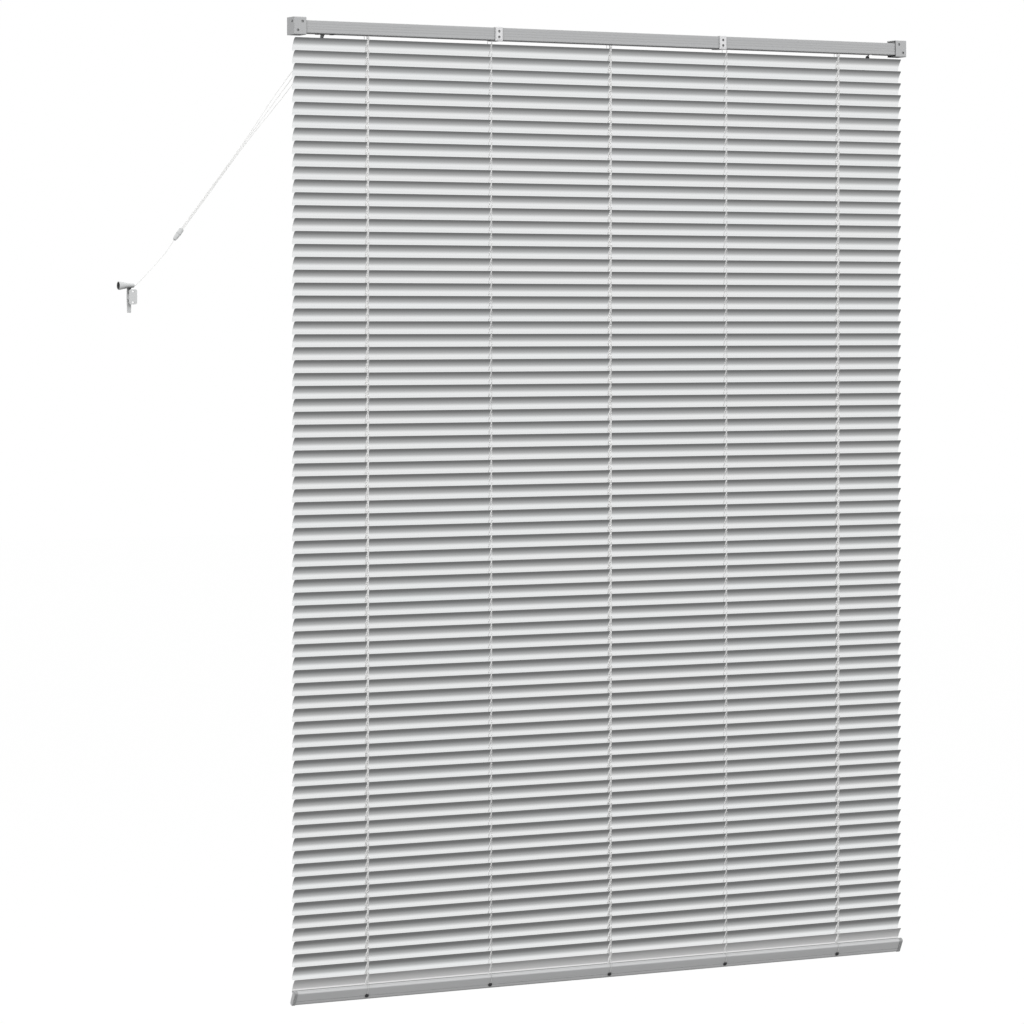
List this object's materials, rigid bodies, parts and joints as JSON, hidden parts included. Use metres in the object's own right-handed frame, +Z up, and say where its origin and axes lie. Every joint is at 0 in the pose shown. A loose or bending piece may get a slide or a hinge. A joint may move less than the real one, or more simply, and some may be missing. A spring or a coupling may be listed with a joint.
{
  "type": "venetian blind",
  "caption": "Aluminium venetian blind with headrail, tilting crowned slats, string ladders, lift cords, cord lock, tilt wand and wall cleat.",
  "frame": {"origin": "middle of the four screw holes of the two centre brackets, in the wall plane", "axes": "+X along the headrail towards the tilter, +Y from the wall into the room, +Z up"},
  "size_m": [1.493, 0.0362, 1.6086],
  "materials": {
    "painted_steel": "satin silver-grey enamel",
    "bracket_steel": "pale grey enamel",
    "spring_steel": "white enamel",
    "slat_aluminium": "smooth glossy silver coating",
    "ladder_braid": "white braided polyester",
    "cord_braid": "white braided polyester",
    "white_plastic": "moulded, satin",
    "grey_plastic": "moulded, satin",
    "rail_plastic": "moulded, satin, in the bottom rail's colour",
    "dark_plastic": "moulded, satin",
    "zinc_steel": "zinc plated",
    "roller_brass": "plain",
    "clear_acrylic": "clear, polished"
  },
  "bodies": {
    "frame": {"headrail": "painted_steel", "bracket_left": "bracket_steel", "bracket_right": "bracket_steel", "centre_brackets": "spring_steel", "tilter_housing": "dark_plastic", "drum_cradles": "white_plastic", "cord_lock": "dark_plastic", "lift_cords": "cord_braid", "ladders_upper": "ladder_braid", "ladders_lower": "ladder_braid", "slats_lower": "slat_aluminium", "pull_cords": "cord_braid", "cord_connector": "grey_plastic", "tail_cord": "cord_braid", "cord_tassel": "grey_plastic", "cord_cleat": "grey_plastic"},
    "gate_left": {"gate_left": "bracket_steel"},
    "gate_right": {"gate_right": "bracket_steel"},
    "tilt_rod": {"tilt_rod": "zinc_steel", "tilt_gear": "white_plastic", "ladder_drums": "white_plastic"},
    "tilter_worm": {"tilter_worm": "dark_plastic"},
    "wand_hook": {"wand_hook": "dark_plastic"},
    "wand": {"wand": "clear_acrylic"},
    "lock_roller": {"lock_roller": "roller_brass"},
    "bottom_rail": {"bottom_rail": "painted_steel", "rail_caps": "rail_plastic", "rail_buttons": "dark_plastic"},
    "slat_01": {"slat_01": "slat_aluminium"},
    "slat_02": {"slat_02": "slat_aluminium"},
    "slat_03": {"slat_03": "slat_aluminium"},
    "slat_04": {"slat_04": "slat_aluminium"},
    "slat_05": {"slat_05": "slat_aluminium"},
    "slat_06": {"slat_06": "slat_aluminium"},
    "slat_07": {"slat_07": "slat_aluminium"},
    "slat_08": {"slat_08": "slat_aluminium"},
    "slat_09": {"slat_09": "slat_aluminium"},
    "slat_10": {"slat_10": "slat_aluminium"},
    "slat_11": {"slat_11": "slat_aluminium"},
    "slat_12": {"slat_12": "slat_aluminium"},
    "slat_13": {"slat_13": "slat_aluminium"},
    "slat_14": {"slat_14": "slat_aluminium"},
    "slat_15": {"slat_15": "slat_aluminium"},
    "slat_16": {"slat_16": "slat_aluminium"},
    "slat_17": {"slat_17": "slat_aluminium"},
    "slat_18": {"slat_18": "slat_aluminium"},
    "slat_19": {"slat_19": "slat_aluminium"},
    "slat_20": {"slat_20": "slat_aluminium"},
    "slat_21": {"slat_21": "slat_aluminium"},
    "slat_22": {"slat_22": "slat_aluminium"},
    "slat_23": {"slat_23": "slat_aluminium"},
    "slat_24": {"slat_24": "slat_aluminium"},
    "slat_25": {"slat_25": "slat_aluminium"},
    "slat_26": {"slat_26": "slat_aluminium"},
    "slat_27": {"slat_27": "slat_aluminium"},
    "slat_28": {"slat_28": "slat_aluminium"},
    "slat_29": {"slat_29": "slat_aluminium"},
    "slat_30": {"slat_30": "slat_aluminium"}
  },
  "joints": [
    {"name": "gate_left_swing", "type": "hinge", "parent": "frame", "child": "gate_left", "pos_m": [-0.584, 0.0264, 0.0134], "axis": [1, 0, 0], "range_deg": [0, 90]},
    {"name": "gate_right_swing", "type": "hinge", "parent": "frame", "child": "gate_right", "pos_m": [0.584, 0.0264, 0.0134], "axis": [1, 0, 0], "range_deg": [0, 90]},
    {"name": "tilt", "type": "hinge", "parent": "frame", "child": "tilt_rod", "pos_m": [0, 0.0138, 0.002], "axis": [1, 0, 0], "range_deg": [0, 150], "deforming": ["ladders_upper"]},
    {"name": "worm_turn", "type": "hinge", "parent": "frame", "child": "tilter_worm", "pos_m": [0.534, 0.02004, 0.0056], "axis": [0, 0.5, -0.866], "range_deg": [-1800, 0]},
    {"name": "wand_swing", "type": "hinge", "parent": "frame", "child": "wand_hook", "pos_m": [0.534, 0.03124, -0.0138], "axis": [1, 0, 0], "range_deg": [0, 70]},
    {"name": "wand_spin", "type": "hinge", "parent": "wand_hook", "child": "wand", "pos_m": [0.534, 0.03124, -0.0338], "axis": [0, 0, -1], "range_deg": [-1800, 0]},
    {"name": "lock_roller_slide", "type": "slide", "parent": "frame", "child": "lock_roller", "axis": [0.5736, 0, 0.8192], "range_m": [0, 0.004]},
    {"name": "lift", "type": "slide", "parent": "frame", "child": "bottom_rail", "axis": [0, 0, 1], "range_m": [0, 0.75], "deforming": ["slats_lower", "ladders_lower", "lift_cords"]},
    {"name": "slat_01_tilt", "type": "hinge", "parent": "frame", "child": "slat_01", "pos_m": [0, 0.0138, -0.0279], "axis": [1, 0, 0], "range_deg": [0, 120]},
    {"name": "slat_02_tilt", "type": "hinge", "parent": "frame", "child": "slat_02", "pos_m": [0, 0.0138, -0.0489], "axis": [1, 0, 0], "range_deg": [0, 120]},
    {"name": "slat_03_tilt", "type": "hinge", "parent": "frame", "child": "slat_03", "pos_m": [0, 0.0138, -0.0699], "axis": [1, 0, 0], "range_deg": [0, 120]},
    {"name": "slat_04_tilt", "type": "hinge", "parent": "frame", "child": "slat_04", "pos_m": [0, 0.0138, -0.0909], "axis": [1, 0, 0], "range_deg": [0, 120]},
    {"name": "slat_05_tilt", "type": "hinge", "parent": "frame", "child": "slat_05", "pos_m": [0, 0.0138, -0.1119], "axis": [1, 0, 0], "range_deg": [0, 120]},
    {"name": "slat_06_tilt", "type": "hinge", "parent": "frame", "child": "slat_06", "pos_m": [0, 0.0138, -0.1329], "axis": [1, 0, 0], "range_deg": [0, 120]},
    {"name": "slat_07_tilt", "type": "hinge", "parent": "frame", "child": "slat_07", "pos_m": [0, 0.0138, -0.1539], "axis": [1, 0, 0], "range_deg": [0, 120]},
    {"name": "slat_08_tilt", "type": "hinge", "parent": "frame", "child": "slat_08", "pos_m": [0, 0.0138, -0.1749], "axis": [1, 0, 0], "range_deg": [0, 120]},
    {"name": "slat_09_tilt", "type": "hinge", "parent": "frame", "child": "slat_09", "pos_m": [0, 0.0138, -0.1959], "axis": [1, 0, 0], "range_deg": [0, 120]},
    {"name": "slat_10_tilt", "type": "hinge", "parent": "frame", "child": "slat_10", "pos_m": [0, 0.0138, -0.2169], "axis": [1, 0, 0], "range_deg": [0, 120]},
    {"name": "slat_11_tilt", "type": "hinge", "parent": "frame", "child": "slat_11", "pos_m": [0, 0.0138, -0.2379], "axis": [1, 0, 0], "range_deg": [0, 120]},
    {"name": "slat_12_tilt", "type": "hinge", "parent": "frame", "child": "slat_12", "pos_m": [0, 0.0138, -0.2589], "axis": [1, 0, 0], "range_deg": [0, 120]},
    {"name": "slat_13_tilt", "type": "hinge", "parent": "frame", "child": "slat_13", "pos_m": [0, 0.0138, -0.2799], "axis": [1, 0, 0], "range_deg": [0, 120]},
    {"name": "slat_14_tilt", "type": "hinge", "parent": "frame", "child": "slat_14", "pos_m": [0, 0.0138, -0.3009], "axis": [1, 0, 0], "range_deg": [0, 120]},
    {"name": "slat_15_tilt", "type": "hinge", "parent": "frame", "child": "slat_15", "pos_m": [0, 0.0138, -0.3219], "axis": [1, 0, 0], "range_deg": [0, 120]},
    {"name": "slat_16_tilt", "type": "hinge", "parent": "frame", "child": "slat_16", "pos_m": [0, 0.0138, -0.3429], "axis": [1, 0, 0], "range_deg": [0, 120]},
    {"name": "slat_17_tilt", "type": "hinge", "parent": "frame", "child": "slat_17", "pos_m": [0, 0.0138, -0.3639], "axis": [1, 0, 0], "range_deg": [0, 120]},
    {"name": "slat_18_tilt", "type": "hinge", "parent": "frame", "child": "slat_18", "pos_m": [0, 0.0138, -0.3849], "axis": [1, 0, 0], "range_deg": [0, 120]},
    {"name": "slat_19_tilt", "type": "hinge", "parent": "frame", "child": "slat_19", "pos_m": [0, 0.0138, -0.4059], "axis": [1, 0, 0], "range_deg": [0, 120]},
    {"name": "slat_20_tilt", "type": "hinge", "parent": "frame", "child": "slat_20", "pos_m": [0, 0.0138, -0.4269], "axis": [1, 0, 0], "range_deg": [0, 120]},
    {"name": "slat_21_tilt", "type": "hinge", "parent": "frame", "child": "slat_21", "pos_m": [0, 0.0138, -0.4479], "axis": [1, 0, 0], "range_deg": [0, 120]},
    {"name": "slat_22_tilt", "type": "hinge", "parent": "frame", "child": "slat_22", "pos_m": [0, 0.0138, -0.4689], "axis": [1, 0, 0], "range_deg": [0, 120]},
    {"name": "slat_23_tilt", "type": "hinge", "parent": "frame", "child": "slat_23", "pos_m": [0, 0.0138, -0.4899], "axis": [1, 0, 0], "range_deg": [0, 120]},
    {"name": "slat_24_tilt", "type": "hinge", "parent": "frame", "child": "slat_24", "pos_m": [0, 0.0138, -0.5109], "axis": [1, 0, 0], "range_deg": [0, 120]},
    {"name": "slat_25_tilt", "type": "hinge", "parent": "frame", "child": "slat_25", "pos_m": [0, 0.0138, -0.5319], "axis": [1, 0, 0], "range_deg": [0, 120]},
    {"name": "slat_26_tilt", "type": "hinge", "parent": "frame", "child": "slat_26", "pos_m": [0, 0.0138, -0.5529], "axis": [1, 0, 0], "range_deg": [0, 120]},
    {"name": "slat_27_tilt", "type": "hinge", "parent": "frame", "child": "slat_27", "pos_m": [0, 0.0138, -0.5739], "axis": [1, 0, 0], "range_deg": [0, 120]},
    {"name": "slat_28_tilt", "type": "hinge", "parent": "frame", "child": "slat_28", "pos_m": [0, 0.0138, -0.5949], "axis": [1, 0, 0], "range_deg": [0, 120]},
    {"name": "slat_29_tilt", "type": "hinge", "parent": "frame", "child": "slat_29", "pos_m": [0, 0.0138, -0.6159], "axis": [1, 0, 0], "range_deg": [0, 120]},
    {"name": "slat_30_tilt", "type": "hinge", "parent": "frame", "child": "slat_30", "pos_m": [0, 0.0138, -0.6369], "axis": [1, 0, 0], "range_deg": [0, 120]}
  ],
  "couplings": [
    {"joint": "worm_turn", "follows": "tilt", "ratio": -12},
    {"joint": "wand_spin", "follows": "tilt", "ratio": -12},
    {"joint": "slat_01_tilt", "follows": "tilt", "ratio": 0.8},
    {"joint": "slat_02_tilt", "follows": "tilt", "ratio": 0.8},
    {"joint": "slat_03_tilt", "follows": "tilt", "ratio": 0.8},
    {"joint": "slat_04_tilt", "follows": "tilt", "ratio": 0.8},
    {"joint": "slat_05_tilt", "follows": "tilt", "ratio": 0.8},
    {"joint": "slat_06_tilt", "follows": "tilt", "ratio": 0.8},
    {"joint": "slat_07_tilt", "follows": "tilt", "ratio": 0.8},
    {"joint": "slat_08_tilt", "follows": "tilt", "ratio": 0.8},
    {"joint": "slat_09_tilt", "follows": "tilt", "ratio": 0.8},
    {"joint": "slat_10_tilt", "follows": "tilt", "ratio": 0.8},
    {"joint": "slat_11_tilt", "follows": "tilt", "ratio": 0.8},
    {"joint": "slat_12_tilt", "follows": "tilt", "ratio": 0.8},
    {"joint": "slat_13_tilt", "follows": "tilt", "ratio": 0.8},
    {"joint": "slat_14_tilt", "follows": "tilt", "ratio": 0.8},
    {"joint": "slat_15_tilt", "follows": "tilt", "ratio": 0.8},
    {"joint": "slat_16_tilt", "follows": "tilt", "ratio": 0.8},
    {"joint": "slat_17_tilt", "follows": "tilt", "ratio": 0.8},
    {"joint": "slat_18_tilt", "follows": "tilt", "ratio": 0.8},
    {"joint": "slat_19_tilt", "follows": "tilt", "ratio": 0.8},
    {"joint": "slat_20_tilt", "follows": "tilt", "ratio": 0.8},
    {"joint": "slat_21_tilt", "follows": "tilt", "ratio": 0.8},
    {"joint": "slat_22_tilt", "follows": "tilt", "ratio": 0.8},
    {"joint": "slat_23_tilt", "follows": "tilt", "ratio": 0.8},
    {"joint": "slat_24_tilt", "follows": "tilt", "ratio": 0.8},
    {"joint": "slat_25_tilt", "follows": "tilt", "ratio": 0.8},
    {"joint": "slat_26_tilt", "follows": "tilt", "ratio": 0.8},
    {"joint": "slat_27_tilt", "follows": "tilt", "ratio": 0.8},
    {"joint": "slat_28_tilt", "follows": "tilt", "ratio": 0.8},
    {"joint": "slat_29_tilt", "follows": "tilt", "ratio": 0.8},
    {"joint": "slat_30_tilt", "follows": "tilt", "ratio": 0.8}
  ]
}
